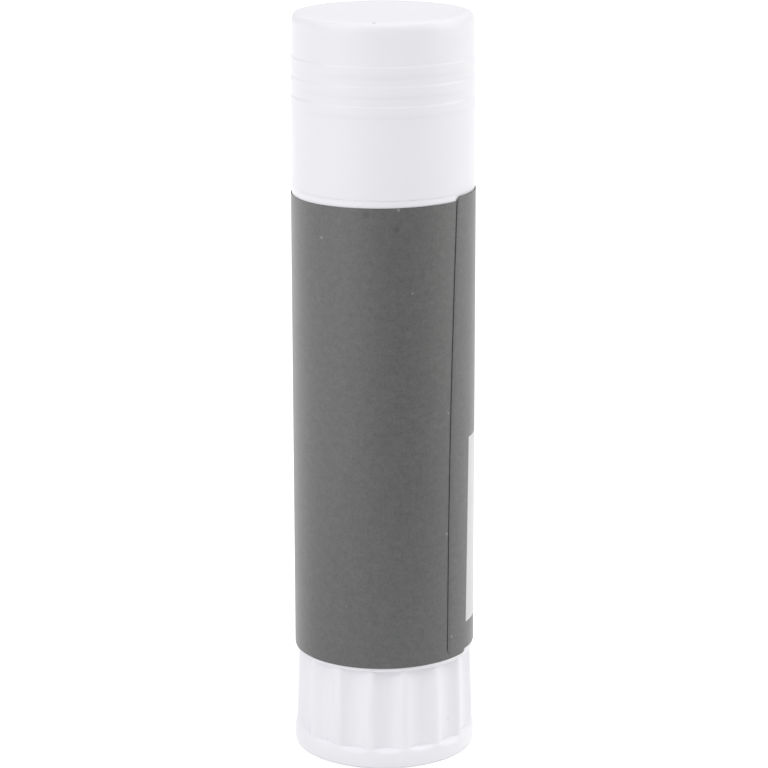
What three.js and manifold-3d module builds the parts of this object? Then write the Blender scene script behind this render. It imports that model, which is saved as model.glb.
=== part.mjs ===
// Twist-up glue stick: a fluted knob turns a screw spindle, which lifts the glue in its carrier up the tube.
// Millimetres, +Z up, the origin at the centre of the foot, -Y the front. The label laps between -Y and +X.

import * as THREE from "three";
import { mergeVertices } from "three/addons/utils/BufferGeometryUtils.js";
import Module from "manifold-3d";

const wasm = await Module();
wasm.setup();

// Clearances
const slideGap = 0.3; // round what slides: glue, carrier and cap
const turnGap = 0.3; // round and beside what turns: knob and spindle
const keyGap = 0.1; // spindle key in the knob's socket
const seatGap = 0.3; // between pieces that rest on each other
const glueLine = 0.02; // under the label, and between its two layers at the overlap

// Glue
const glueRadius = 12.2;
const glueEdge = 1; // rounding of the top edge

// Tube
const neckWall = 0.85;
const neckDrop = 1; // from the cap's ceiling down to the mouth
const gripHeight = 0.15; // grip ring on the neck, under the cap
const gripWidth = 1.4;
const gripPlace = 4; // above the shoulder
const skirtWall = 1.3;
const skirtDepth = 3.2; // from the lower edge up to the floor
const floorThickness = 1.6;
const tubeEdge = 0.35; // rounding of the lower edge and the shoulder
const ribCount = 3; // rails in the bore, which stop the carrier from turning
const ribHeight = 0.5;
const ribWidth = 1.4;
const ribSpare = 3; // rail left above the carrier at the top of its travel

// Cap
const capWall = 1.03;
const capHeight = 28.3;
const capCeiling = 1.25;
const capDraft = 0.16; // the cap narrows this much from its grooved band to its top edge
const capTopRound = 1; // height of the rounding at the top edge
const capTopInset = 0.67; // width of the same rounding
const capLip = 0.2; // lip round the top face
const capLipWidth = 0.35;
const capRibCount = 3;
const capRibPitch = 3.2;
const capRibWidth = 1.7;
const capRibHeight = 0.16;
const capRibPlace = 14.3; // middle of the lowest rib above the cap's lower edge
const sealDepth = 2.6; // ring under the ceiling, which stands in the tube's mouth
const sealWall = 0.9;
const leadIn = 0.4; // bevel inside the cap's lower edge and on other edges that guide a piece in

// Label
const labelThickness = 0.15;
const labelHeight = 76.9;
const labelBelow = 0.7; // bare tube below the label
const labelAbove = 0.55; // bare tube above the label
const labelCorner = 0.9; // corner radius of the sheet
const overlapStart = 63.5; // degrees from -Y towards +X, where the hidden end lies
const overlapWidth = 4.3; // width of the two layers, half way up
const flapLean = 2.1; // the free end leans this much over its height, its top towards the hidden end
const flapLift = 0.7; // the free end sits this much higher than the rest of the sheet
const flapFade = 15; // length over which the sheet comes back to its level
const lapClimb = 7; // length over which the sheet climbs onto its hidden end
const lapLead = 0.8; // it has climbed this far before the hidden end

// Knob
const knobHeight = 16.65;
const knobFlare = 0.17; // foot beyond the tube's wall
const knobWaist = 0.43; // top edge inside the tube's wall
const knobEdge = 0.25; // bevel of the top edge
const knobFootDraft = 0.1; // the wall draws in this much from the foot to the flutes
const knobFootBand = 3.7; // plain band under the flutes
const knobFootRound = 0.55;
const knobBase = 2;
const collarWall = 1.2;
const footRecess = 0.6;
const footRing = 1.6; // width of the ring that the knob stands on
const fluteCount = 16;
const fluteDepth = 0.55;
const fluteLedge = 0.8; // height of the curved ledge at a flute's lower end
const fluteTurn = 2.5; // degrees from -Y towards +X, to the middle of the first flute
const fluteCurve = 2.2; // power of the hollow's curve: 2 is a parabola, more is a flatter middle
const hubWall = 1.8;
const webCount = 4;
const webThickness = 1.2;
const webHeight = 10;

// Spindle
const threadRadius = 3.6;
const threadDepth = 1;
const threadLead = 6; // rise for each turn
const threadCrest = 1.5;
const threadFlank = 0.6; // length of each slope along the axis
const journalRadius = 4.3;
const keyRadius = 3.9; // corners of the six-sided key
const keyLength = 9;
const flangeGrip = 1.3; // flange beyond the hole in the tube's floor
const flangeThickness = 1.4;

// Carrier
const travel = 75; // twelve and a half turns of the knob
const carrierWall = 1;
const carrierFloor = 1.4;
const carrierHeight = 8;
const nutWall = 1.5;
const nutHeight = 9;
const nutHold = 7.5; // length of thread left in the nut at the top of the travel
const tipGap = 1.5; // glue bore beyond the spindle's tip
const glueBoreGap = 0.6; // round the spindle's thread

// Facets
const roundSteps = 60;
const labelSteps = 90;
const fluteSteps = 6;
const threadSteps = 16;
const cornerSteps = 3;
const ledgeRows = [0, 0.3, 1]; // rows of points up the ledge
const keySides = 6;

// Radii, from the glue out
const boreRadius = glueRadius + slideGap;
const neckRadius = boreRadius + neckWall;
const capBore = neckRadius + gripHeight + slideGap;
const tubeRadius = capBore + capWall;
const skirtRadius = tubeRadius - skirtWall;
const collarRadius = skirtRadius - turnGap;
const cavityRadius = collarRadius - collarWall;
const hubRadius = keyRadius + keyGap + hubWall;
const holeRadius = journalRadius + turnGap;
const nutRadius = threadRadius + slideGap + nutWall;
const railRadius = boreRadius - ribHeight;

// Heights, from the foot up
const tubeBottom = knobHeight + turnGap;
const floorBottom = tubeBottom + skirtDepth;
const floorTop = floorBottom + floorThickness;
const hubTop = floorBottom - turnGap;
const flangeBottom = floorTop + turnGap;
const flangeTop = flangeBottom + flangeThickness;
const carrierBottom = flangeTop + turnGap;
const carrierTop = carrierBottom + carrierHeight;
const nutTop = carrierBottom + nutHeight;
const spindleTop = carrierBottom + travel + nutHold;
const labelBottom = tubeBottom + labelBelow;
const shoulderTop = labelBottom + labelHeight + labelAbove;
const capBottom = shoulderTop + seatGap;
const capTop = capBottom + capHeight;
const ceiling = capTop - capLip - capCeiling;
const sealBottom = ceiling - sealDepth;
const mouth = ceiling - neckDrop;
const glueTop = sealBottom - seatGap;
const glueBoreTop = spindleTop + tipGap;
const ribTop = carrierTop + travel + ribSpare;

// Points of a quarter ellipse round centre, from one angle to another in degrees.
function arc(centreR, centreZ, width, height, from, to) {
  const points = [];
  for (let i = 0; i <= cornerSteps; i++) {
    const a = THREE.MathUtils.degToRad(from + ((to - from) * i) / cornerSteps);
    points.push([centreR + width * Math.cos(a), centreZ + height * Math.sin(a)]);
  }
  return points;
}

// A solid turned round Z from a profile of [radius, height] points, anticlockwise in the half plane.
function turned(profile, steps = roundSteps) {
  const points = profile.map(([r, z]) => new THREE.Vector2(r, z));
  return new THREE.LatheGeometry(points, steps).rotateX(Math.PI / 2);
}

// The same for a ring, whose profile closes on itself.
function turnedRing(profile, steps = roundSteps) {
  return turned([...profile, profile[0]], steps);
}

// A closed geometry as a solid for cutting and joining.
function solid(geometry) {
  geometry.deleteAttribute("normal");
  geometry.deleteAttribute("uv");
  const merged = mergeVertices(geometry, 1e-4);
  return new wasm.Manifold(
    new wasm.Mesh({
      numProp: 3,
      vertProperties: merged.attributes.position.array,
      triVerts: new Uint32Array(merged.index.array),
    }),
  );
}

function geometryOf(cut) {
  const data = cut.getMesh();
  const geometry = new THREE.BufferGeometry();
  geometry.setAttribute("position", new THREE.BufferAttribute(data.vertProperties, 3));
  geometry.setIndex(new THREE.BufferAttribute(data.triVerts, 1));
  const flat = geometry.toNonIndexed();
  flat.computeVertexNormals();
  return flat;
}

function geometryFrom(vertices, faces) {
  const geometry = new THREE.BufferGeometry();
  geometry.setAttribute("position", new THREE.Float32BufferAttribute(vertices.flat(), 3));
  geometry.setIndex(faces.flat());
  return geometry;
}

// An upright bar that runs out along +X from one radius to another.
function bar(fromR, toR, width, bottom, top) {
  const box = new THREE.BoxGeometry(toR - fromR, width, top - bottom);
  return box.translate((fromR + toR) / 2, 0, (bottom + top) / 2);
}

// Copies of a solid spread evenly round Z, the first turned by a few degrees.
function spread(piece, count, firstDegrees = 0) {
  const copies = [];
  for (let i = 0; i < count; i++) {
    copies.push(piece.rotate([0, 0, firstDegrees + (360 * i) / count]));
  }
  return copies;
}

// A left-handed threaded rod about Z from bottom to top, its thread and core grown by gap on every side.
function threadedRod(bottom, top, gap) {
  const crest = threadRadius + gap;
  const core = crest - threadDepth;
  const halfCrest = threadCrest / 2 + gap;
  const section = [
    [core, -halfCrest - threadFlank],
    [crest, -halfCrest],
    [crest, halfCrest],
    [core, halfCrest + threadFlank],
  ];
  const firstTurn = Math.floor(bottom / threadLead) - 1;
  const turns = Math.ceil(top / threadLead) + 1 - firstTurn;
  const columns = turns * threadSteps;
  const per = section.length;
  const vertices = [];
  for (let i = 0; i <= columns; i++) {
    const angle = (-2 * Math.PI * i) / threadSteps;
    const level = threadLead * (firstTurn + i / threadSteps);
    for (const [r, z] of section) {
      vertices.push([r * Math.cos(angle), r * Math.sin(angle), level + z]);
    }
  }
  const at = (i, m) => (m < per ? i * per + m : (i + threadSteps) * per + m - per);
  const faces = [];
  for (let i = 0; i < columns; i++) {
    const last = i + threadSteps < columns ? per : per - 1;
    for (let m = 0; m < last; m++) {
      faces.push([at(i, m), at(i, m + 1), at(i + 1, m)]);
      faces.push([at(i + 1, m), at(i, m + 1), at(i + 1, m + 1)]);
    }
  }
  const foot = vertices.push([0, 0, threadLead * firstTurn]) - 1;
  const head = vertices.push([0, 0, threadLead * (firstTurn + turns)]) - 1;
  const lastTurn = columns - threadSteps;
  for (let i = 0; i < threadSteps; i++) {
    faces.push([foot, at(i, 0), at(i + 1, 0)]);
    faces.push([head, at(lastTurn + i + 1, per - 1), at(lastTurn + i, per - 1)]);
  }
  for (let m = 0; m < per; m++) {
    faces.push([foot, at(0, m + 1), at(0, m)]);
  }
  for (let m = 0; m < per - 1; m++) {
    faces.push([head, at(columns, m), at(columns, m + 1)]);
  }
  faces.push([head, at(lastTurn, per - 1), at(columns, 0)]);
  return solid(geometryFrom(vertices, faces));
}

// Cap: a drafted shell with three soft ribs, a lipped top and a seal ring under its ceiling.
function capGeometry() {
  const bandTop = capBottom + capRibPlace + capRibCount * capRibPitch;
  const topRadius = tubeRadius - capDraft;
  const bandBottom = capBottom + capRibPlace - capRibPitch;
  const wallAt = (z) => {
    const along = THREE.MathUtils.clamp((z - bandBottom) / (capTop - bandBottom), 0, 1);
    return tubeRadius - capDraft * along;
  };
  const ribs = [];
  for (let i = 0; i < capRibCount; i++) {
    const middle = capBottom + capRibPlace + i * capRibPitch;
    for (let s = 0; s <= cornerSteps; s++) {
      const z = middle + capRibWidth * (s / cornerSteps - 0.5);
      const swell = Math.sin((Math.PI * s) / cornerSteps) ** 0.5;
      ribs.push([wallAt(z) + capRibHeight * swell, z]);
    }
  }
  const sealRadius = boreRadius - slideGap;
  return turned([
    [0, ceiling],
    [sealRadius - sealWall, ceiling],
    [sealRadius - sealWall, sealBottom],
    [sealRadius - leadIn, sealBottom],
    [sealRadius, sealBottom + leadIn],
    [sealRadius, ceiling],
    [capBore - capDraft, ceiling],
    [capBore, capBottom + leadIn],
    [capBore + leadIn / 2, capBottom],
    [tubeRadius - leadIn / 2, capBottom],
    [tubeRadius, capBottom + leadIn / 2],
    [tubeRadius, bandBottom],
    ...ribs,
    [wallAt(bandTop), bandTop],
    ...arc(topRadius - capTopInset, capTop - capTopRound, capTopInset, capTopRound, 0, 90),
    [topRadius - capTopInset - capLipWidth, capTop - capLip],
    [0, capTop - capLip],
  ]);
}

// Tube: barrel for the label, shoulder, neck for the cap, floor with the spindle's hole, rails in the bore.
function tubeGeometry() {
  const grip = shoulderTop + gripPlace;
  const shell = solid(
    turnedRing([
      [holeRadius, floorBottom],
      [skirtRadius, floorBottom],
      [skirtRadius, tubeBottom + leadIn],
      [skirtRadius + leadIn / 2, tubeBottom],
      ...arc(tubeRadius - tubeEdge, tubeBottom + tubeEdge, tubeEdge, tubeEdge, -90, 0),
      ...arc(tubeRadius - tubeEdge, shoulderTop - tubeEdge, tubeEdge, tubeEdge, 0, 90),
      [neckRadius, shoulderTop],
      [neckRadius, grip],
      [neckRadius + gripHeight, grip + gripWidth / 2],
      [neckRadius, grip + gripWidth],
      [neckRadius, mouth - leadIn],
      [neckRadius - leadIn, mouth],
      [boreRadius, mouth],
      [boreRadius, floorTop],
      [holeRadius, floorTop],
    ]),
  );
  const railFoot = floorTop - floorThickness / 2;
  const rail = solid(bar(railRadius, boreRadius + neckWall / 2, ribWidth, railFoot, ribTop));
  return geometryOf(wasm.Manifold.union([shell, ...spread(rail, ribCount, 90)]));
}

// Label: one sheet wound round the tube, its free end lapped over its hidden end, a little higher, leaning.
function labelGeometry() {
  const inner = tubeRadius + glueLine;
  const layer = labelThickness + glueLine;
  const around = 2 * Math.PI * inner;
  const length = around + overlapWidth;
  const stops = [];
  for (let i = 0; i <= cornerSteps; i++) {
    stops.push(labelCorner * (1 - Math.cos((Math.PI * i) / (2 * cornerSteps))));
  }
  const steps = Math.round(length / (around / labelSteps));
  for (let i = 1; i < steps; i++) {
    const place = (length * i) / steps;
    if (place > labelCorner && place < length - labelCorner) {
      stops.push(place);
    }
  }
  for (let i = cornerSteps; i >= 0; i--) {
    stops.push(length - labelCorner * (1 - Math.cos((Math.PI * i) / (2 * cornerSteps))));
  }
  const vertices = [];
  for (const place of stops) {
    const fromEnd = length - place;
    const fade = Math.max(0, 1 - fromEnd / flapFade);
    const lift = flapLift * fade * fade;
    const nearest = Math.min(place, fromEnd);
    const inCorner = Math.max(0, labelCorner - nearest);
    const drawnIn = labelCorner - Math.sqrt(Math.max(0, labelCorner ** 2 - inCorner ** 2));
    const climbed = around - lapLead;
    const rise = layer * THREE.MathUtils.smoothstep(place, climbed - lapClimb, climbed);
    const low = labelBottom + lift + drawnIn;
    const high = labelBottom + labelHeight + lift - drawnIn;
    for (const [r, z] of [
      [inner, low],
      [inner, high],
      [inner + labelThickness, high],
      [inner + labelThickness, low],
    ]) {
      const up = (z - labelBottom) / labelHeight - 0.5;
      const along = place - flapLean * up * fade * fade;
      const angle = THREE.MathUtils.degToRad(overlapStart - 90) - along / inner;
      vertices.push([(r + rise) * Math.cos(angle), (r + rise) * Math.sin(angle), z]);
    }
  }
  const faces = [];
  const last = (stops.length - 1) * 4;
  for (let i = 0; i < last; i += 4) {
    for (let m = 0; m < 4; m++) {
      const n = (m + 1) % 4;
      faces.push([i + m, i + 4 + m, i + n]);
      faces.push([i + n, i + 4 + m, i + 4 + n]);
    }
  }
  faces.push([0, 1, 2], [0, 2, 3]);
  faces.push([last, last + 2, last + 1], [last, last + 3, last + 2]);
  return geometryFrom(vertices, faces);
}

// Outside of the knob: rows of points round Z, each with its radius, height and share of the flutes' depth.
function flutedBody() {
  const foot = tubeRadius + knobFlare;
  const top = tubeRadius - knobWaist;
  const outline = arc(foot - knobFootRound, knobFootRound, knobFootRound, knobFootRound, -90, 0);
  const rows = outline.map(([r, z]) => [r, z, 0]);
  const wallAt = (z) => THREE.MathUtils.mapLinear(z, knobFootBand, knobHeight, foot - knobFootDraft, top);
  for (const share of ledgeRows) {
    const z = knobFootBand + fluteLedge * share;
    rows.push([wallAt(z), z, Math.sin((Math.PI / 2) * share)]);
  }
  rows.push([top, knobHeight - knobEdge, 1]);
  rows.push([top - knobEdge, knobHeight, 1]);
  const columns = fluteCount * fluteSteps;
  const firstCrest = THREE.MathUtils.degToRad(fluteTurn - 90) - Math.PI / fluteCount;
  const vertices = [];
  for (const [r, z, share] of rows) {
    for (let i = 0; i < columns; i++) {
      const across = (2 * (i % fluteSteps)) / fluteSteps - 1;
      const hollow = fluteDepth * share * (1 - Math.abs(across) ** fluteCurve);
      const angle = firstCrest + (2 * Math.PI * i) / columns;
      vertices.push([(r - hollow) * Math.cos(angle), (r - hollow) * Math.sin(angle), z]);
    }
  }
  const faces = [];
  const bottomCentre = vertices.push([0, 0, 0]) - 1;
  const topCentre = vertices.push([0, 0, knobHeight]) - 1;
  const topRow = (rows.length - 1) * columns;
  for (let i = 0; i < columns; i++) {
    const next = (i + 1) % columns;
    for (let row = 0; row < topRow; row += columns) {
      faces.push([row + i, row + next, row + columns + i]);
      faces.push([row + columns + i, row + next, row + columns + next]);
    }
    faces.push([bottomCentre, next, i]);
    faces.push([topCentre, topRow + i, topRow + next]);
  }
  return solid(geometryFrom(vertices, faces));
}

// Knob: a fluted cup with a collar that turns in the tube's skirt, and a webbed hub for the spindle's key.
function knobGeometry() {
  const collar = solid(
    turned([
      [0, knobHeight - collarWall],
      [collarRadius, knobHeight - collarWall],
      [collarRadius, hubTop - leadIn],
      [collarRadius - leadIn, hubTop],
      [0, hubTop],
    ]),
  );
  const floor = footRecess + knobBase;
  const cavity = solid(
    turnedRing([
      [hubRadius, floor],
      [cavityRadius, floor],
      [cavityRadius, hubTop + collarWall],
      [hubRadius, hubTop + collarWall],
    ]),
  );
  const recessRadius = tubeRadius + knobFlare - knobFootRound - footRing;
  const recess = solid(
    turned([
      [0, -footRecess],
      [recessRadius + footRecess, -footRecess],
      [recessRadius - footRecess, footRecess],
      [0, footRecess],
    ]),
  );
  const webStart = hubRadius - webThickness;
  const web = solid(bar(webStart, cavityRadius + webThickness, webThickness, knobBase, floor + webHeight));
  const socketDepth = keyLength + seatGap;
  const socketRadius = keyRadius + keyGap;
  const socket = new THREE.CylinderGeometry(socketRadius, socketRadius, 2 * socketDepth, keySides);
  const socketCut = solid(socket.rotateX(Math.PI / 2).translate(0, 0, hubTop));
  const shell = flutedBody().add(collar).subtract(cavity);
  const joined = wasm.Manifold.union([shell, ...spread(web, webCount)]);
  return geometryOf(joined.subtract(socketCut).subtract(recess));
}

// Spindle: six-sided key, journal, snap flange and coarse left-handed thread with a bevelled tip.
function spindleGeometry() {
  const keyBottom = hubTop - keyLength;
  const key = new THREE.CylinderGeometry(keyRadius, keyRadius, keyLength + 2 * keyGap, keySides);
  const keySolid = solid(key.rotateX(Math.PI / 2).translate(0, 0, keyBottom + keyLength / 2 + keyGap));
  const flangeRadius = holeRadius + flangeGrip;
  const journal = solid(
    turned([
      [0, hubTop + keyGap],
      [journalRadius, hubTop + keyGap],
      [journalRadius, flangeBottom],
      [flangeRadius, flangeBottom],
      [flangeRadius, flangeBottom + flangeThickness / 2],
      [journalRadius, flangeTop],
      [0, flangeTop],
    ]),
  );
  const envelope = solid(
    turned([
      [0, flangeBottom],
      [threadRadius + threadDepth, flangeBottom],
      [threadRadius + threadDepth, spindleTop - threadDepth],
      [threadRadius - threadDepth, spindleTop],
      [0, spindleTop],
    ]),
  );
  const thread = threadedRod(flangeBottom, spindleTop, 0).intersect(envelope);
  return geometryOf(wasm.Manifold.union([keySolid, journal, thread]));
}

// Carrier: a cup for the glue's foot, with the nut in its middle and notches for the tube's rails.
function carrierGeometry() {
  const cup = solid(
    turned([
      [0, carrierBottom],
      [glueRadius - leadIn, carrierBottom],
      [glueRadius, carrierBottom + leadIn],
      [glueRadius, carrierTop],
      [glueRadius - carrierWall, carrierTop],
      [glueRadius - carrierWall, carrierBottom + carrierFloor],
      [nutRadius, carrierBottom + carrierFloor],
      [nutRadius, nutTop],
      [0, nutTop],
    ]),
  );
  const notchWidth = ribWidth + 2 * slideGap;
  const notchFoot = carrierBottom - seatGap;
  const notch = solid(bar(railRadius - slideGap, boreRadius, notchWidth, notchFoot, carrierTop + seatGap));
  const thread = threadedRod(carrierBottom - seatGap, nutTop + seatGap, slideGap);
  return geometryOf(wasm.Manifold.difference([cup, thread, ...spread(notch, ribCount, 90)]));
}

// Glue: a cast stick with its foot in the carrier, bored for the nut and the spindle, grooved by the rails.
function glueGeometry() {
  const foot = carrierBottom + carrierFloor + seatGap;
  const footRadius = glueRadius - carrierWall - seatGap;
  const stick = solid(
    turnedRing([
      [nutRadius + seatGap, foot],
      [footRadius, foot],
      [footRadius, carrierTop + seatGap],
      [glueRadius, carrierTop + seatGap],
      ...arc(glueRadius - glueEdge, glueTop - glueEdge, glueEdge, glueEdge, 0, 90),
      [0, glueTop],
      [0, glueBoreTop],
      [threadRadius + glueBoreGap, glueBoreTop],
      [threadRadius + glueBoreGap, nutTop + seatGap],
      [nutRadius + seatGap, nutTop + seatGap],
    ]),
  );
  const grooveWidth = ribWidth + 2 * slideGap;
  const groove = solid(bar(railRadius - slideGap, boreRadius, grooveWidth, foot, ribTop + seatGap));
  return geometryOf(wasm.Manifold.difference([stick, ...spread(groove, ribCount, 90)]));
}

function material(color, roughness) {
  return new THREE.MeshStandardMaterial({ color, roughness, metalness: 0 });
}

function piece(name, geometry, colour, roughness) {
  const mesh = new THREE.Mesh(geometry, material(colour, roughness));
  mesh.name = name;
  return mesh;
}

const whitePlastic = 0xe6e5ea;
const innerPlastic = 0xdedee2;

const glueStick = new THREE.Group();
const tubeGroup = new THREE.Group();
const drive = new THREE.Group();
const lift = new THREE.Group();
tubeGroup.add(piece("body_tube", tubeGeometry(), whitePlastic, 0.35));
tubeGroup.add(piece("label", labelGeometry(), 0x4a4a4b, 0.5));
drive.add(piece("twist_knob", knobGeometry(), whitePlastic, 0.35));
drive.add(piece("screw_spindle", spindleGeometry(), innerPlastic, 0.4));
lift.add(piece("carrier_cup", carrierGeometry(), innerPlastic, 0.4));
lift.add(piece("glue_rod", glueGeometry(), 0xf1efe8, 0.45));
lift.add(piece("cap", capGeometry(), whitePlastic, 0.35));
glueStick.add(tubeGroup, drive, lift);

export default glueStick;
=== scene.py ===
"""Twist-up glue stick, seen from the front and a little above, on a plain white floor.

Sizes are in millimetres and become metres as a piece is made. The stick stands on the origin with its
length along Z. Angles on it run from the front, which is -Y, towards +X.
"""

import math

import bmesh
import bpy
from mathutils import Matrix, Vector


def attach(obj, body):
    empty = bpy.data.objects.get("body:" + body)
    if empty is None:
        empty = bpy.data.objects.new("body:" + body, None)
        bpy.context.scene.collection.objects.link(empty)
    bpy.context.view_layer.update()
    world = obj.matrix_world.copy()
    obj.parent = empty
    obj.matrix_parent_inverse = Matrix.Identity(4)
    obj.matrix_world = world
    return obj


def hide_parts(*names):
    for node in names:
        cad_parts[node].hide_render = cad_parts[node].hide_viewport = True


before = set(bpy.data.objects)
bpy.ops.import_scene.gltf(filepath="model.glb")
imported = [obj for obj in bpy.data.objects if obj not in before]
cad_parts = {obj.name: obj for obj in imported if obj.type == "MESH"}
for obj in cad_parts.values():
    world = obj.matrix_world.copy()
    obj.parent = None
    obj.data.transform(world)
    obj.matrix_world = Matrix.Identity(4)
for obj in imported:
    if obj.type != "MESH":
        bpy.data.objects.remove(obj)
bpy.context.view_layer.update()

MM = 0.001

# Radii
TUBE_RADIUS = 14.83
CAP_RADIUS = 14.88
BORE_RADIUS = 12.5
NECK_RADIUS = 13.35
GLUE_RADIUS = 12.2

# Heights above the foot
KNOB_TOP = 16.65
TUBE_BOTTOM = 16.95
COLLAR_TOP = 19.85
FLOOR_BOTTOM = 20.15
FLOOR_TOP = 21.75
SHOULDER = 95.6
CAP_TOP = 123.7
CAP_CEILING = 122.25
MOUTH = 121.25
RAIL_TOP = 109.75

SEAM = 0.006  # what the eye sees of the gaps above and below the tube
RAILS = (90, 210, 330)  # degrees from +X to the rails in the tube's bore
RAIL_DEPTH = 0.5
ARC_STEP = 15  # degrees between the points of a rounding
HOLD = 0.045  # distance of the row that holds a flat face flat beside a rounding


# Modelling


def softened(corners):
    """Turns corners (radius, height, rounding) of an outline into points with small arcs."""
    points = []
    count = len(corners)
    for i, (r, z, rounding) in enumerate(corners):
        here = Vector((r, z))
        if not rounding:
            points.append(here)
            continue
        back = (Vector(corners[i - 1][:2]) - here).normalized()
        ahead = (Vector(corners[(i + 1) % count][:2]) - here).normalized()
        half = back.angle(ahead) / 2
        reach = rounding / math.tan(half)
        centre = here + (back + ahead).normalized() * rounding / math.sin(half)
        start = here + back * reach
        end = here + ahead * reach
        turn = math.pi - 2 * half
        steps = max(2, math.ceil(math.degrees(turn) / ARC_STEP))
        points.append(start + back * HOLD)
        for k in range(steps + 1):
            t = k / steps
            from_start = math.sin((1 - t) * turn) / math.sin(turn)
            from_end = math.sin(t * turn) / math.sin(turn)
            points.append(centre + (start - centre) * from_start + (end - centre) * from_end)
        points.append(end + ahead * HOLD)
    return points


def ease(t):
    """Goes from 0 to 1 with soft ends."""
    t = min(1, max(0, t))
    return t * t * (3 - 2 * t)


def start_piece(name):
    """Names the primitive that was just added, puts its place in its mesh and opens it for editing."""
    piece = bpy.context.object
    piece.name = name
    piece.data.name = name
    bpy.ops.object.transform_apply(location=True, rotation=True, scale=True)
    bpy.ops.object.mode_set(mode="EDIT")
    bpy.ops.mesh.select_mode(type="VERT")
    return piece


def pick(piece, wanted, kind="verts"):
    """Selects the points or faces of the open piece that the test wants."""
    mesh = bmesh.from_edit_mesh(piece.data)
    bpy.ops.mesh.select_mode(type="FACE" if kind == "faces" else "VERT")
    bpy.ops.mesh.select_all(action="DESELECT")
    for element in getattr(mesh, kind):
        place = element.calc_center_median() if kind == "faces" else element.co
        if wanted(place / MM, element):
            element.select_set(True)
    mesh.select_flush_mode()
    bmesh.update_edit_mesh(piece.data, loop_triangles=False, destructive=False)


def pick_points(piece, indices):
    """Selects points of the open piece by their numbers, which stay the same while points only move."""
    mesh = bmesh.from_edit_mesh(piece.data)
    mesh.verts.ensure_lookup_table()
    bpy.ops.mesh.select_all(action="DESELECT")
    for index in indices:
        mesh.verts[index].select_set(True)


def close_piece(piece, smooth=35):
    """Leaves edit mode and shades the piece smooth up to that angle."""
    bpy.ops.mesh.select_all(action="DESELECT")
    bpy.ops.object.mode_set(mode="OBJECT")
    bpy.ops.object.shade_smooth_by_angle(angle=math.radians(smooth))
    bpy.ops.object.select_all(action="DESELECT")


def turn_on_lathe(name, corners, steps=256, ring=False):
    """Draws the outline point by point and spins it round Z. A ring's outline goes back to its start."""
    outline = softened(corners)
    if ring:
        outline.append(outline[0])
    first = outline[0]
    bpy.ops.object.select_all(action="DESELECT")
    bpy.ops.mesh.primitive_plane_add(size=MM, location=(first.x * MM, 0, first.y * MM))
    piece = start_piece(name)
    bpy.ops.mesh.select_all(action="SELECT")
    bpy.ops.mesh.merge(type="CENTER")
    for before, after in zip(outline, outline[1:]):
        step = (after - before) * MM
        bpy.ops.mesh.extrude_region_move(TRANSFORM_OT_translate={"value": (step.x, 0, step.y)})
    bpy.ops.mesh.select_all(action="SELECT")
    bpy.ops.mesh.spin(steps=steps, angle=2 * math.pi, center=(0, 0, 0), axis=(0, 0, 1))
    bpy.ops.mesh.select_all(action="SELECT")
    bpy.ops.mesh.remove_doubles(threshold=2e-6)
    bpy.ops.mesh.normals_make_consistent(inside=False)
    return piece


def degrees_from(place, middle):
    """How far a place stands from a direction, both measured round Z from +X, in degrees."""
    angle = math.degrees(math.atan2(place.y, place.x))
    return abs((angle - middle + 180) % 360 - 180)


# Cap


CAP_DRAFT = 0.16  # how far the cap's side has drawn in at its top
CAP_DRAFT_FROM = 106.5
RIBS = (109.65, 112.8, 115.95)
RIB_SWELL = 0.11
SHOULDER_DROP = 0.36  # how far the cap's side rounds in below its top edge
SHOULDER_STEPS = 8


def cap_wall(z):
    """Outer radius of the cap's drafted side."""
    share = min(1, max(0, (z - CAP_DRAFT_FROM) / (CAP_TOP - CAP_DRAFT_FROM)))
    return CAP_RADIUS - CAP_DRAFT * share


def rib(middle):
    """Corners of one grip rib, from its foot up: a long soft swell that ends in a crisp upper edge."""
    swell = [(RIB_SWELL * ease(k / 5), middle - 1.3 + 0.9 * k / 5, 0) for k in range(6)]
    crest = [(0.105, middle + 0.35, 0), (0.09, middle + 0.7, 0.06), (0, middle + 0.98, 0.06)]
    return [(cap_wall(z) + proud, z, rounding) for proud, z, rounding in swell + crest]


def make_cap():
    """Ceiling with its seal ring, bore, side with ribs, soft shoulder, crisp edge, and the lipped top."""
    foot = SHOULDER + SEAM
    corners = [
        (0, CAP_CEILING, 0),
        (11.3, CAP_CEILING, 0.25),
        (11.3, 119.65, 0.2),
        (12.2, 119.65, 0.35),
        (12.2, CAP_CEILING, 0.25),
        (13.64, CAP_CEILING, 0.4),
        (13.8, foot + 0.4, 0.15),
        (14.0, foot, 0.12),
        (CAP_RADIUS, foot, 0.03),
        (CAP_RADIUS, CAP_DRAFT_FROM, 0),
    ]
    for middle in RIBS:
        corners += rib(middle)
    corners += [(cap_wall(z), z, 0) for z in (118.5, 120.5, 121.6)]
    edge = cap_wall(CAP_TOP)
    for k in range(SHOULDER_STEPS + 1):
        share = k / SHOULDER_STEPS
        corners.append((edge - SHOULDER_DROP * share**2, CAP_TOP - 1.6 + 1.26 * share, 0))
    corners += [
        (edge - 0.42, CAP_TOP - 0.26, 0.1),
        (13.6, CAP_TOP - 0.07, 0),
        (13.1, CAP_TOP, 0.3),
        (12.3, CAP_TOP - 0.06, 0),
        (11.4, CAP_TOP - 0.1, 0),
        (0, CAP_TOP - 0.1, 0),
    ]
    cap = turn_on_lathe("pull_off_cap", corners)
    close_piece(cap)
    return cap


# Tube


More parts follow.
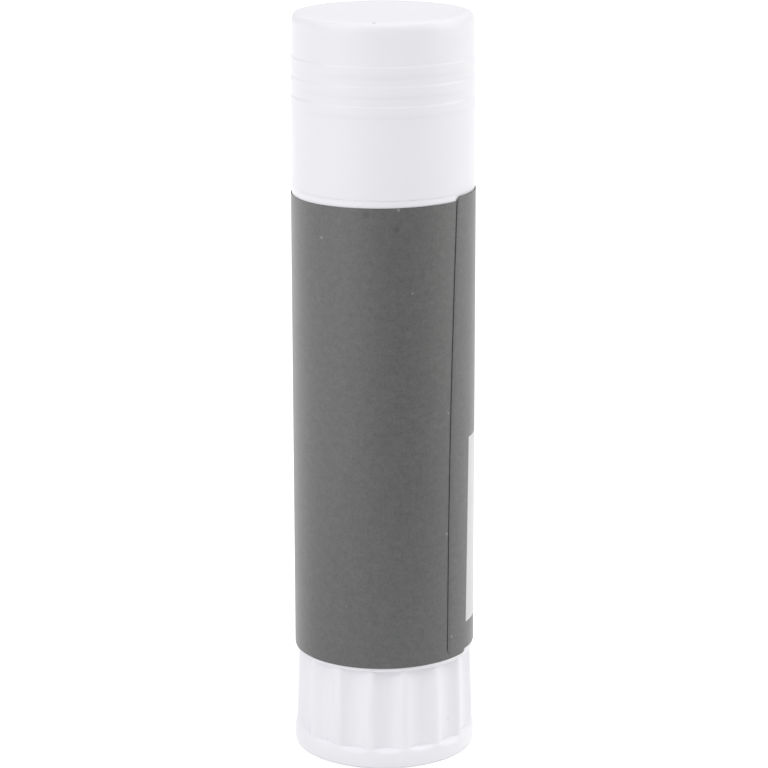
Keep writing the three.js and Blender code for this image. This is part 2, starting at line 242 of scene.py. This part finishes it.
def make_tube():
    """Floor, foot, barrel, shoulder, neck with its grip ring, mouth, and bore with three rails."""
    corners = [
        (4.6, FLOOR_BOTTOM, 0.15),
        (13.53, FLOOR_BOTTOM, 0.25),
        (13.53, TUBE_BOTTOM + 0.4, 0.15),
        (13.73, TUBE_BOTTOM, 0.1),
        (TUBE_RADIUS, TUBE_BOTTOM, 0.12),
        (TUBE_RADIUS, SHOULDER, 0.03),
        (NECK_RADIUS, SHOULDER, 0.25),
        (NECK_RADIUS, 99.1, 0.2),
        (NECK_RADIUS + 0.15, 99.8, 0.3),
        (NECK_RADIUS, 100.5, 0.2),
        (NECK_RADIUS, MOUTH, 0.38),
        (BORE_RADIUS, MOUTH, 0.18),
        (BORE_RADIUS, RAIL_TOP, 0),
        (BORE_RADIUS, FLOOR_TOP, 0.2),
        (4.6, FLOOR_TOP, 0.15),
    ]
    tube = turn_on_lathe("barrel_tube", corners, steps=240, ring=True)
    pick(
        tube,
        lambda place, face: abs(place.xy.length - BORE_RADIUS) < 0.05
        and 22 < place.z < RAIL_TOP
        and any(degrees_from(place, rail) < 3.1 for rail in RAILS),
        "faces",
    )
    raise_rail = (BORE_RADIUS - RAIL_DEPTH) / BORE_RADIUS
    bpy.ops.mesh.extrude_region_move(TRANSFORM_OT_translate={"value": (0, 0, 0)})
    bpy.ops.transform.resize(value=(raise_rail, raise_rail, 1), center_override=(0, 0, 0))
    close_piece(tube)
    return tube


# Label

LABEL_INNER = TUBE_RADIUS + 0.07
LABEL_THICKNESS = 0.1
LABEL_LOW = 17.65
LABEL_HIGH = 94.55
LABEL_CORNER = 0.9
LABEL_ROWS = 24
COLUMN_WIDTH = 1.5  # degrees
HIDDEN_END = 63.5  # degrees from the front

# The free edge of the lapped end leans: degrees from the front at its foot, and how much further at its top
EDGE_FOOT = 44.2
EDGE_LEAN = 7.6
LEAN_FROM = 18
LEAN_OVER = 77

# The sheet was wound on a little askew
ASKEW = 0.17  # how far it lies lower on the left
ASKEW_FROM = 30  # degrees from the front, and the turn over which it sinks
ASKEW_OVER = 75
LAPPED_LIFT = 0.87  # how far its lapped end climbs, and over what length
LAPPED_LIFT_OVER = 45
DRAWN_IN_OVER = 15  # length beside the free edge that is drawn in for its lean
CLIMB = 7  # length over which the lapped end climbs onto the hidden one


def free_edge(z):
    """Where the lapped end of the sheet lies, in degrees from the front. It swings away as it rises."""
    return EDGE_FOOT + EDGE_LEAN * (max(0, z - LEAN_FROM) / LEAN_OVER) ** 2


def make_label():
    """The sheet is cut flat, lapped over its own thickness and then wound round the tube."""
    around = 2 * math.pi * LABEL_INNER
    arc = math.radians(1) * LABEL_INNER
    right = HIDDEN_END * arc
    left = free_edge(0) * arc - around
    column = COLUMN_WIDTH * arc
    bpy.ops.object.select_all(action="DESELECT")
    bpy.ops.mesh.primitive_plane_add(
        size=1,
        location=((left + right) / 2 * MM, 0, (LABEL_LOW + LABEL_HIGH) / 2 * MM),
        rotation=(math.pi / 2, 0, 0),
    )
    bpy.ops.transform.resize(value=((right - left) * MM, 1, (LABEL_HIGH - LABEL_LOW) * MM))
    label = start_piece("wound_label")
    bpy.ops.mesh.select_all(action="SELECT")
    bpy.ops.mesh.bevel(
        offset=LABEL_CORNER * MM, offset_type="OFFSET", segments=6, affect="VERTICES", clamp_overlap=False
    )
    for i in range(int((right - left - 2 * LABEL_CORNER) / column) + 1):
        x = left + LABEL_CORNER + i * column
        bpy.ops.mesh.select_all(action="SELECT")
        bpy.ops.mesh.bisect(plane_co=(x * MM, 0, 0), plane_no=(1, 0, 0))
    hold = 2 * HOLD
    heights = [LABEL_LOW + (LABEL_HIGH - LABEL_LOW) * i / LABEL_ROWS for i in range(1, LABEL_ROWS)]
    for z in [LABEL_LOW + hold, *heights, LABEL_HIGH - hold]:
        bpy.ops.mesh.select_all(action="SELECT")
        bpy.ops.mesh.bisect(plane_co=(0, 0, z * MM), plane_no=(0, 0, 1), threshold=1e-6)

    columns = {}
    rows = {}
    for point in bmesh.from_edit_mesh(label.data).verts:
        place = point.co / MM
        columns.setdefault(round(place.x, 3), []).append(point.index)
        if place.x < left + DRAWN_IN_OVER - 0.1:
            rows.setdefault(round(place.z, 3), []).append(point.index)
    layer = LABEL_THICKNESS + 0.02
    climb_end = right - around + 0.8
    for x, points in columns.items():
        lowered = ASKEW * min(1, max(0, (ASKEW_FROM - x / arc) / ASKEW_OVER))
        lift = LAPPED_LIFT * ease(1 - (x - left) / LAPPED_LIFT_OVER) - lowered
        rise = layer * ease((climb_end + CLIMB - x) / CLIMB)
        if lift or rise:
            pick_points(label, points)
            bpy.ops.transform.translate(value=(0, -rise * MM, lift * MM))
    for z, points in rows.items():
        drawn_in = (free_edge(z) - free_edge(0)) * arc
        if drawn_in:
            pick_points(label, points)
            share = 1 - drawn_in / DRAWN_IN_OVER
            bpy.ops.transform.resize(value=(share, 1, 1), center_override=((left + DRAWN_IN_OVER) * MM, 0, 0))

    bpy.ops.object.mode_set(mode="OBJECT")
    thickness = label.modifiers.new("thickness", "SOLIDIFY")
    thickness.thickness = LABEL_THICKNESS * MM
    thickness.offset = 1
    bpy.ops.object.modifier_apply(modifier="thickness")
    edge = label.modifiers.new("cut_edge", "BEVEL")
    edge.width = 0.03 * MM
    edge.segments = 2
    edge.limit_method = "ANGLE"
    edge.angle_limit = math.radians(60)
    bpy.ops.object.modifier_apply(modifier="cut_edge")
    spread = [v.co.x for v in label.data.vertices]
    wind = label.modifiers.new("wind", "SIMPLE_DEFORM")
    wind.deform_method = "BEND"
    wind.deform_axis = "Z"
    wind.angle = (max(spread) - min(spread)) / (LABEL_INNER * MM)
    bpy.ops.object.modifier_apply(modifier="wind")
    bpy.ops.object.mode_set(mode="EDIT")
    bpy.ops.mesh.select_all(action="SELECT")
    bpy.ops.transform.translate(value=(0, -LABEL_INNER * MM, 0))
    close_piece(label, 40)
    return label


# Knob

FLUTES = 16
COLUMNS = 28  # columns of points to a flute
FLUTE_MIDDLE = 2.5 - 90  # degrees from +X to the middle of the first flute
FLUTE_DEPTH = 1.0
FLUTE_FOOT = 2.4
FLUTE_LEDGE = 0.95  # height of the foot ring's rounded top edge, which the flutes run down to
RING_STEP = 0.1  # how far the foot ring stands out from the crests
RING_STEPS = 12
CREST_FROM = 0.76  # where the hollow ends and the crest begins, as a share of half a flute
SIDE_LOW = 15.02  # radius of the crests above the foot ring, and at the top
SIDE_HIGH = 14.6


def hollow_at(across):
    """Share of a flute's depth, from 1 in its middle to 0 on the rounded crest beside it."""
    slope = 2 * CREST_FROM
    crest_share = 1 - CREST_FROM**2 - slope * (1 - CREST_FROM) / 2
    if across < CREST_FROM:
        share = 1 - across**2
    else:
        share = crest_share + slope * (1 - across) ** 2 / (2 * (1 - CREST_FROM))
    return (share - crest_share) / (1 - crest_share)


def make_knob():
    """Recessed foot, foot ring, tapered side with flutes, rim, collar, hub and six-sided socket."""
    rim = TUBE_BOTTOM - SEAM
    ledge_top = FLUTE_FOOT + FLUTE_LEDGE

    def side(z):
        return SIDE_LOW + (SIDE_HIGH - SIDE_LOW) * (z - ledge_top) / (KNOB_TOP - ledge_top)

    corners = [(0, 0.6, 0), (12.25, 0.6, 0.25), (12.85, 0, 0.12), (15.09, 0, 0.5)]
    corners += [(side(ledge_top) + RING_STEP + 0.01, 1.6, 0)]
    for k in range(RING_STEPS + 1):
        turn = math.pi / 2 * k / RING_STEPS
        ring_radius = side(ledge_top) + RING_STEP * math.cos(turn)
        corners.append((ring_radius, FLUTE_FOOT + FLUTE_LEDGE * math.sin(turn), 0))
    corners += [(side(z), z, 0) for z in (ledge_top + 0.04, 3.8, 5.6, 8.0, 11.0, 14.0, 16.0)]
    corners += [
        (side(rim), rim, 0.1),
        (13.23, rim, 0.12),
        (13.23, COLLAR_TOP, 0.35),
        (12.03, COLLAR_TOP, 0.2),
        (12.03, 2.6, 0.5),
        (5.8, 2.6, 0.5),
        (5.8, COLLAR_TOP, 0.2),
        (4.0, COLLAR_TOP, 0),
        (4.0, 10.55, 0),
        (0, 10.55, 0),
    ]
    knob = turn_on_lathe("fluted_knob", corners, steps=FLUTES * COLUMNS)

    mesh = bmesh.from_edit_mesh(knob.data)
    rows = {}
    socket = {}
    for point in mesh.verts:
        place = point.co / MM
        radius = place.xy.length
        angle = math.degrees(math.atan2(place.y, place.x))
        if radius > 13.6 and place.z > FLUTE_FOOT + 0.001:
            step = round((angle - FLUTE_MIDDLE) / (360 / FLUTES / COLUMNS)) % COLUMNS
            step = min(step, COLUMNS - step)
            rows.setdefault((round(place.z, 3), round(radius, 3), step), []).append(point.index)
        elif 3.9 < radius < 4.1:
            off_corner = abs((angle + 30) % 60 - 30)
            socket.setdefault(round(30 - off_corner, 2), []).append(point.index)

    def squeeze(points, factor):
        pick_points(knob, points)
        bpy.ops.transform.resize(value=(factor, factor, 1), center_override=(0, 0, 0))

    for (z, radius, step), points in rows.items():
        across = 2 * step / COLUMNS
        up = min(1, (z - FLUTE_FOOT) / FLUTE_LEDGE)
        deep = 1 - math.sqrt(1 - up**2)
        hollow = FLUTE_DEPTH * deep * hollow_at(across)
        if hollow > 0:
            squeeze(points, (radius - hollow) / radius)
    for off_flat, points in socket.items():
        squeeze(points, math.cos(math.radians(30)) / math.cos(math.radians(off_flat)))
    close_piece(knob, 55)
    return knob


# Glue


def make_glue():
    """Bored from below for the spindle and the carrier's hub, grooved by the rails, dished on top."""
    corners = [
        (0, 107.75, 0),
        (4.2, 107.75, 0.3),
        (4.2, 33.05, 0),
        (5.7, 33.05, 0.1),
        (5.7, 25.45, 0.1),
        (10.9, 25.45, 0.2),
        (10.9, 32.05, 0),
        (GLUE_RADIUS, 32.05, 0.1),
        (GLUE_RADIUS, 110.05, 0),
        (GLUE_RADIUS, 119.35, 0.9),
        (10.6, 119.33, 0),
        (9.6, 119.26, 0),
        (8.2, 119.17, 0),
        (6.0, 119.08, 0),
        (3.0, 119.03, 0),
        (0, 119.02, 0),
    ]
    glue = turn_on_lathe("glue_stick", corners, steps=240)
    pick(
        glue,
        lambda place, face: abs(place.xy.length - GLUE_RADIUS) < 0.05
        and 32.2 < place.z < 110.05
        and any(degrees_from(place, rail) < 4.6 for rail in RAILS),
        "faces",
    )
    sink = (GLUE_RADIUS - RAIL_DEPTH) / GLUE_RADIUS
    bpy.ops.mesh.extrude_region_move(TRANSFORM_OT_translate={"value": (0, 0, 0)})
    bpy.ops.transform.resize(value=(sink, sink, 1), center_override=(0, 0, 0))
    close_piece(glue)
    return glue


# Shared finishes


def wire(tree, source, target):
    tree.links.new(source, target)


def new_group(name, inputs, outputs):
    group = bpy.data.node_groups.new(name, "ShaderNodeTree")
    for label, kind, value in inputs:
        socket = group.interface.new_socket(label, in_out="INPUT", socket_type=kind)
        if value is not None:
            socket.default_value = value
    for label, kind in outputs:
        group.interface.new_socket(label, in_out="OUTPUT", socket_type=kind)
    enter = group.nodes.new("NodeGroupInput")
    leave = group.nodes.new("NodeGroupOutput")
    return group, enter, leave


def math_node(tree, operation, first, second=None, third=None):
    node = tree.nodes.new("ShaderNodeMath")
    node.operation = operation
    for socket, value in zip(node.inputs, (first, second, third)):
        if value is None:
            continue
        if isinstance(value, (int, float)):
            socket.default_value = value
        else:
            wire(tree, value, socket)
    return node.outputs[0]


def noise_node(tree, vector, scale, detail=2, roughness=0.5):
    node = tree.nodes.new("ShaderNodeTexNoise")
    wire(tree, vector, node.inputs["Vector"])
    node.inputs["Scale"].default_value = scale
    node.inputs["Detail"].default_value = detail
    node.inputs["Roughness"].default_value = roughness
    return node.outputs["Fac"]


def ramp(tree, value, start, end, low=0.0, high=1.0, soft=True):
    """Goes from low to high as the value goes from start to end, and stays level on both sides."""
    node = tree.nodes.new("ShaderNodeMapRange")
    if soft:
        node.interpolation_type = "SMOOTHSTEP"
    wire(tree, value, node.inputs["Value"])
    for socket, level in zip(("From Min", "From Max", "To Min", "To Max"), (start, end, low, high)):
        node.inputs[socket].default_value = level
    return node.outputs[0]


def distance_node(tree, place, centre):
    node = tree.nodes.new("ShaderNodeVectorMath")
    node.operation = "DISTANCE"
    wire(tree, place, node.inputs[0])
    node.inputs[1].default_value = centre
    return node.outputs["Value"]


def split_node(tree, vector):
    node = tree.nodes.new("ShaderNodeSeparateXYZ")
    wire(tree, vector, node.inputs[0])
    return node


def ray_is(tree, *kinds):
    """1 on rays of these kinds and 0 on all others."""
    path = tree.nodes.new("ShaderNodeLightPath")
    total = path.outputs[kinds[0]]
    for kind in kinds[1:]:
        total = math_node(tree, "ADD", total, path.outputs[kind])
    return math_node(tree, "MINIMUM", total, 1)


def build_moulding_group():
    """Skin of a moulded piece: a fine even grain, broad clouding of the tone, and slight changes of gloss."""
    group, enter, leave = new_group(
        "moulded_skin",
        [
            ("Colour", "NodeSocketColor", (0.8, 0.8, 0.8, 1)),
            ("Clouding", "NodeSocketFloat", 0.02),
            ("Gloss Roughness", "NodeSocketFloat", 0.35),
        ],
        [("Colour", "NodeSocketColor"), ("Roughness", "NodeSocketFloat"), ("Height", "NodeSocketFloat")],
    )
    place = group.nodes.new("ShaderNodeTexCoord").outputs["Object"]
    cloud = noise_node(group, place, 90, 3, 0.55)
    grain = noise_node(group, place, 5200, 2, 0.6)
    waves = noise_node(group, place, 320, 2, 0.5)
    swing = math_node(group, "SUBTRACT", cloud, 0.5)
    swing = math_node(group, "MULTIPLY", swing, enter.outputs["Clouding"])
    factor = math_node(group, "ADD", swing, 1.0)
    tone = group.nodes.new("ShaderNodeVectorMath")
    tone.operation = "SCALE"
    wire(group, enter.outputs["Colour"], tone.inputs[0])
    wire(group, factor, tone.inputs["Scale"])
    wire(group, tone.outputs[0], leave.inputs["Colour"])
    gloss = math_node(group, "SUBTRACT", waves, 0.5)
    gloss = math_node(group, "MULTIPLY_ADD", gloss, 0.08, enter.outputs["Gloss Roughness"])
    wire(group, gloss, leave.inputs["Roughness"])
    height = math_node(group, "MULTIPLY_ADD", waves, 2.0, grain)
    wire(group, height, leave.inputs["Height"])
    return group


def new_material(name, colour, roughness):
    material = bpy.data.materials.new(name)
    material.use_nodes = True
    material.diffuse_color = (*colour, 1)
    shader = material.node_tree.nodes["Principled BSDF"]
    shader.inputs["Base Color"].default_value = (*colour, 1)
    shader.inputs["Roughness"].default_value = roughness
    return material, material.node_tree, shader


def bump(tree, height, strength, distance, shader):
    node = tree.nodes.new("ShaderNodeBump")
    node.inputs["Strength"].default_value = strength
    node.inputs["Distance"].default_value = distance
    wire(tree, height, node.inputs["Height"])
    wire(tree, node.outputs["Normal"], shader.inputs["Normal"])


# Handling marks (degrees from the front, height, size across)
PALE_FLECKS = (
    (-41, 89.1, 0.5),
    (17.9, 80.6, 0.35),
    (9.3, 94.2, 0.5),
    (43.4, 39.5, 0.45),
    (44.1, 59.9, 0.4),
    (47.5, 21.5, 0.4),
)
DARK_SMUDGES = (
    (-10.6, 93.5, 1.1),
    (7.8, 91.0, 0.9),
)
KNOB_NICK = (49.4, 6.7, 0.6)
GATE_MARK = (-5.8, 123.62, 0.6)  # on the edge of the cap's top
MARK_GREY = (0.35, 0.35, 0.38)


def spots(tree, place, marks, radius, soft=0.5):
    """1 on each mark of the list, fading out at its rim. The radius is that of the surface they lie on."""
    total = None
    for angle, z, size in marks:
        a = math.radians(angle)
        centre = (radius * math.sin(a) * MM, -radius * math.cos(a) * MM, z * MM)
        away = distance_node(tree, place, centre)
        mark = ramp(tree, away, size / 2 * (1 + soft) * MM, size / 2 * (1 - soft) * MM)
        total = mark if total is None else math_node(tree, "MAXIMUM", total, mark)
    return total


def moulded_plastic(name, colour, roughness, clouding=0.02, mark=None, radius=0, dark=0):
    """Satin plastic that light enters a little way, with one small mark on it where one is given."""
    material, tree, shader = new_material(name, colour, roughness)
    skin = tree.nodes.new("ShaderNodeGroup")
    skin.node_tree = MOULDED_SKIN
    skin.inputs["Colour"].default_value = (*colour, 1)
    skin.inputs["Clouding"].default_value = clouding
    skin.inputs["Gloss Roughness"].default_value = roughness
    tone = skin.outputs["Colour"]
    if mark:
        place = tree.nodes.new("ShaderNodeTexCoord").outputs["Object"]
        nick = math_node(tree, "MULTIPLY", spots(tree, place, [mark], radius), dark)
        tone = blend_colour(tree, nick, tone, MARK_GREY)
    wire(tree, tone, shader.inputs["Base Color"])
    wire(tree, skin.outputs["Roughness"], shader.inputs["Roughness"])
    bump(tree, skin.outputs["Height"], 0.25, 0.00002, shader)
    shader.inputs["Subsurface Weight"].default_value = 0.1
    shader.inputs["Subsurface Radius"].default_value = (1.0, 0.95, 0.9)
    shader.inputs["Subsurface Scale"].default_value = 0.0012
    return material


def band(tree, value, low, high, soft):
    """1 where the value lies between low and high, with soft ends."""
    up = ramp(tree, value, low - soft, low + soft)
    down = ramp(tree, value, high - soft, high + soft)
    return math_node(tree, "SUBTRACT", up, down)


def blend_colour(tree, factor, under, over):
    node = tree.nodes.new("ShaderNodeMix")
    node.data_type = "RGBA"
    wire(tree, factor, node.inputs["Factor"])
    for socket, value in ((node.inputs["A"], under), (node.inputs["B"], over)):
        if isinstance(value, tuple):
            socket.default_value = (*value, 1)
        else:
            wire(tree, value, socket)
    return node.outputs["Result"]


INK = (0.0462, 0.0456, 0.0456)
LOW_INK = (0.0450, 0.0457, 0.0470)  # the print turns a trace bluer towards the foot
PANEL_WHITE = (0.56, 0.56, 0.57)
PANEL_FROM = 63.7  # degrees from the front to the panel's near side, at its foot
PANEL_WIDTH = 76  # degrees
PANEL_LEAN = 3.2  # degrees that its sides swing by over its height
PANEL_LOW = 22.9
PANEL_HIGH = 54.6


def label_film():
    """Dark printed film, mottled, with a painted highlight along its free edge for the light the lapped edge
    catches and its pale cut, and with a bare white panel.
    """
    material, tree, shader = new_material("label_film", (0.045, 0.045, 0.046), 0.34)
    place = tree.nodes.new("ShaderNodeTexCoord").outputs["Object"]
    split = split_node(tree, place)
    front = math_node(tree, "MULTIPLY", split.outputs["Y"], -1)
    angle = math_node(tree, "ARCTAN2", split.outputs["X"], front)
    angle = math_node(tree, "MULTIPLY", angle, 180 / math.pi)
    height = math_node(tree, "MULTIPLY", split.outputs["Z"], 1000)

    fine = noise_node(tree, place, 2600, 3, 0.6)
    broad = noise_node(tree, place, 160, 2, 0.5)
    patches = noise_node(tree, place, 900, 2, 0.5)
    mottle = math_node(tree, "MULTIPLY_ADD", fine, 1.4, 0.3)
    blotches = math_node(tree, "MULTIPLY_ADD", patches, 0.8, 0.6)
    clouds = math_node(tree, "MULTIPLY_ADD", broad, 0.10, 0.95)
    mottle = math_node(tree, "MULTIPLY", mottle, blotches)
    mottle = math_node(tree, "MULTIPLY", mottle, clouds)
    ink = blend_colour(tree, ramp(tree, height, 60, 25, soft=False), INK, LOW_INK)
    toned = tree.nodes.new("ShaderNodeVectorMath")
    toned.operation = "SCALE"
    wire(tree, ink, toned.inputs[0])
    wire(tree, mottle, toned.inputs["Scale"])

    specks = tree.nodes.new("ShaderNodeTexVoronoi")
    wire(tree, place, specks.inputs["Vector"])
    specks.inputs["Scale"].default_value = 330
    near = math_node(tree, "LESS_THAN", specks.outputs["Distance"], 0.05)
    cell = tree.nodes.new("ShaderNodeSeparateColor")
    wire(tree, specks.outputs["Color"], cell.inputs[0])
    few = math_node(tree, "GREATER_THAN", cell.outputs[0], 0.93)
    speck = math_node(tree, "MULTIPLY", near, few)
    speck = math_node(tree, "MULTIPLY", speck, 0.35)
    inked = blend_colour(tree, speck, toned.outputs[0], (0.28, 0.28, 0.29))
    pale = math_node(tree, "MULTIPLY", spots(tree, place, PALE_FLECKS, LABEL_INNER + 0.2), 0.45)
    inked = blend_colour(tree, pale, inked, (0.3, 0.3, 0.31))
    smudge = math_node(tree, "MULTIPLY", spots(tree, place, DARK_SMUDGES, LABEL_INNER + 0.2, 0.9), 0.8)
    inked = blend_colour(tree, smudge, inked, (0.012, 0.012, 0.012))

    rise = math_node(tree, "SUBTRACT", height, LEAN_FROM)
    rise = math_node(tree, "DIVIDE", rise, LEAN_OVER)
    rise = math_node(tree, "MULTIPLY", rise, rise)
    edge = math_node(tree, "MULTIPLY_ADD", rise, EDGE_LEAN, EDGE_FOOT)
    beside = math_node(tree, "SUBTRACT", angle, edge)
    # Painted highlight: a pale band just beside the free edge, stronger towards the foot, for light caught by
    # the lapped edge together with its pale cut
    edge_glint = band(tree, beside, 0.1, 0.45, 0.12)
    edge_glint = math_node(tree, "MULTIPLY", edge_glint, ramp(tree, height, 32, 21, 0.05, 0.22, soft=False))
    lapped = blend_colour(tree, edge_glint, inked, (0.3, 0.3, 0.3))

    lean = PANEL_LEAN / (PANEL_HIGH - PANEL_LOW)
    leaning = math_node(tree, "MULTIPLY_ADD", height, -lean, lean * PANEL_LOW - PANEL_FROM)
    across = band(tree, math_node(tree, "ADD", angle, leaning), 0, PANEL_WIDTH, 0.25)
    up = band(tree, height, PANEL_LOW, PANEL_HIGH, 0.06)
    panel = math_node(tree, "MULTIPLY", across, up)
    printed = blend_colour(tree, panel, lapped, PANEL_WHITE)
    wire(tree, printed, shader.inputs["Base Color"])

    gloss = math_node(tree, "MULTIPLY_ADD", broad, 0.08, 0.32)
    wire(tree, gloss, shader.inputs["Roughness"])
    shader.inputs["Specular IOR Level"].default_value = 0.95
    bump(tree, fine, 0.25, 0.00001, shader)
    return material


def cast_glue():
    """Waxy off-white glue, a little see-through, with soft streaks along its length."""
    material, tree, shader = new_material("cast_glue", (0.86, 0.85, 0.8), 0.42)
    place = tree.nodes.new("ShaderNodeTexCoord").outputs["Object"]
    stretch = tree.nodes.new("ShaderNodeMapping")
    stretch.inputs["Scale"].default_value = (1, 1, 0.25)
    wire(tree, place, stretch.inputs["Vector"])
    streaks = noise_node(tree, stretch.outputs[0], 260, 4, 0.55)
    grain = noise_node(tree, place, 1500, 3, 0.6)
    colour = blend_colour(tree, streaks, (0.80, 0.785, 0.73), (0.90, 0.89, 0.85))
    wire(tree, colour, shader.inputs["Base Color"])
    gloss = math_node(tree, "MULTIPLY_ADD", streaks, 0.2, 0.32)
    wire(tree, gloss, shader.inputs["Roughness"])
    height = math_node(tree, "MULTIPLY_ADD", streaks, 3.0, grain)
    bump(tree, height, 0.35, 0.00004, shader)
    shader.inputs["Subsurface Weight"].default_value = 0.35
    shader.inputs["Subsurface Radius"].default_value = (1.0, 0.9, 0.7)
    shader.inputs["Subsurface Scale"].default_value = 0.002
    return material


def dress(piece, material):
    piece.data.materials.clear()
    piece.data.materials.append(material)


# Pieces and finishes

bpy.ops.object.select_all(action="DESELECT")
MOULDED_SKIN = build_moulding_group()
# Cap, tube and knob are one white plastic. The tube and the knob are painted lighter than the cap: painted
# light standing in for the floor's bounce on the knob and making up for the shade beside the dark label on
# the tube's strip
CAP_WHITE = (0.79, 0.785, 0.825)
LIT_TUBE_WHITE = (0.82, 0.815, 0.855)
LIT_KNOB_WHITE = (0.84, 0.835, 0.875)

cap = make_cap()
tube = make_tube()
label = make_label()
knob = make_knob()
glue = make_glue()

dress(cap, moulded_plastic("cap_plastic", CAP_WHITE, 0.36, mark=GATE_MARK, radius=13.7, dark=0.5))
dress(tube, moulded_plastic("tube_plastic", LIT_TUBE_WHITE, 0.34))
dress(knob, moulded_plastic("knob_plastic", LIT_KNOB_WHITE, 0.36, mark=KNOB_NICK, radius=13.9, dark=0.1))
dress(glue, cast_glue())
dress(label, label_film())

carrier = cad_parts["carrier_cup"]
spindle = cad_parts["screw_spindle"]
natural = moulded_plastic("natural_plastic", (0.76, 0.76, 0.78), 0.4, clouding=0.03)
dress(carrier, natural)
dress(spindle, natural)

for piece, body, node, slot in (
    (cap, "cap", "cap", "shell"),
    (tube, "tube", "body_tube", "shell"),
    (label, "tube", "label", "label"),
    (knob, "knob", "twist_knob", "shell"),
    (glue, "carrier", "glue_rod", "glue"),
):
    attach(piece, body)
    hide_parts(node)


# Floor, light and camera

# Glow that makes the floor white, as the camera and the gloss of the object see it
FLOOR_NEAR = 0.52
FLOOR_FAR = 0.8
FLOOR_LEFT = 0.3  # how much more it glows at the left
FLOOR_DIP = 0.48  # how much less of it is mirrored from a patch in front
DIP_CENTRE = (0.115, -0.25, 0)

# Levels of the white room, all round and how much more on the backdrop
ROOM = 0.42
BACKDROP = 0.37

WHITE_LIGHT = (1, 1, 1)
WARM_LIGHT = (1, 0.998, 0.97)
SOFTBOXES = {
    "left_softbox": ((-0.53, -0.40, 0.36), 0.56, 0.56, 1.68, WHITE_LIGHT),
    "right_softbox": ((0.62, 0.01, 0.34), 0.52, 0.56, 1.82, WARM_LIGHT),
    "top_softbox": ((0, -0.22, 0.85), 1.2, 1.2, 4.85, WHITE_LIGHT),
}

# Camera, as the edges in the photo place it
CAMERA_AIM = (0.00005, 0, 0.06198)
CAMERA_DISTANCE = 0.49017
CAMERA_PITCH = 14.83  # degrees it looks down
CAMERA_ROLL = -0.1247
CAMERA_LENS = 139.19


def make_floor():
    bpy.ops.object.select_all(action="DESELECT")
    bpy.ops.mesh.primitive_plane_add(size=14, location=(0, 0, 0))
    floor = bpy.context.object
    floor.name = "white_floor"
    material, tree, shader = new_material("floor_paper", (0.8, 0.8, 0.8), 0.8)
    direct = ray_is(tree, "Is Camera Ray", "Is Glossy Ray", "Is Transmission Ray")
    glow = tree.nodes.new("ShaderNodeEmission")
    glow.inputs["Color"].default_value = (1, 1, 1, 1)
    place = tree.nodes.new("ShaderNodeTexCoord").outputs["Object"]
    spread = ramp(tree, distance_node(tree, place, (0, 0, 0)), 0.25, 0.95, FLOOR_NEAR, FLOOR_FAR)
    beside = ramp(tree, split_node(tree, place).outputs["X"], -0.06, -0.2, 0, FLOOR_LEFT)
    spread = math_node(tree, "ADD", spread, beside)
    dip = ramp(tree, distance_node(tree, place, DIP_CENTRE), 0.24, 0.06)
    glossy = tree.nodes.new("ShaderNodeLightPath").outputs["Is Glossy Ray"]
    mirrored = math_node(tree, "MULTIPLY", dip, glossy)
    spread = math_node(tree, "MULTIPLY_ADD", mirrored, -FLOOR_DIP, spread)
    wire(tree, math_node(tree, "MULTIPLY", direct, spread), glow.inputs["Strength"])
    both = tree.nodes.new("ShaderNodeAddShader")
    wire(tree, shader.outputs[0], both.inputs[0])
    wire(tree, glow.outputs[0], both.inputs[1])
    wire(tree, both.outputs[0], tree.nodes["Material Output"].inputs["Surface"])
    floor.data.materials.append(material)
    return floor


def add_softbox(name, place, aim, width, height, power, colour):
    lamp = bpy.data.lights.new(name, "AREA")
    lamp.shape = "RECTANGLE"
    lamp.size = width
    lamp.size_y = height
    lamp.energy = power
    lamp.color = colour
    box = bpy.data.objects.new(name, lamp)
    bpy.context.scene.collection.objects.link(box)
    box.location = place
    box.rotation_euler = (Vector(aim) - Vector(place)).to_track_quat("-Z", "Y").to_euler()
    box.visible_camera = False
    return box


def light_room():
    """White room, the same all round but for a brighter backdrop behind the object."""
    world = bpy.data.worlds.new("white_room")
    bpy.context.scene.world = world
    world.use_nodes = True
    tree = world.node_tree
    background = tree.nodes["Background"]
    background.inputs["Color"].default_value = (1, 1, 1, 1)
    towards = tree.nodes.new("ShaderNodeTexCoord").outputs["Generated"]
    behind = ramp(tree, split_node(tree, towards).outputs["Y"], 0.15, 0.75)
    level = math_node(tree, "MULTIPLY_ADD", behind, BACKDROP, ROOM)
    direct = ray_is(tree, "Is Camera Ray", "Is Transmission Ray")
    spare = math_node(tree, "SUBTRACT", 1, direct)
    strength = math_node(tree, "MULTIPLY_ADD", spare, level, direct)
    wire(tree, strength, background.inputs["Strength"])


def add_camera():
    pitch = math.radians(CAMERA_PITCH)
    back = Vector((0, -math.cos(pitch), math.sin(pitch)))
    camera = bpy.data.objects.new("camera", bpy.data.cameras.new("camera"))
    bpy.context.scene.collection.objects.link(camera)
    camera.data.lens = CAMERA_LENS
    camera.data.sensor_width = 36
    camera.data.clip_start = 0.01
    camera.data.clip_end = 50
    camera.matrix_world = (
        Matrix.Translation(Vector(CAMERA_AIM) + back * CAMERA_DISTANCE)
        @ Matrix.Rotation(math.pi / 2 - pitch, 4, "X")
        @ Matrix.Rotation(math.radians(CAMERA_ROLL), 4, "Z")
    )
    bpy.context.scene.camera = camera


make_floor()
light_room()
for name, (place, width, height, power, colour) in SOFTBOXES.items():
    add_softbox(name, place, (0, 0, 0.06), width, height, power, colour)
add_camera()
bpy.context.scene.view_settings.view_transform = "Standard"
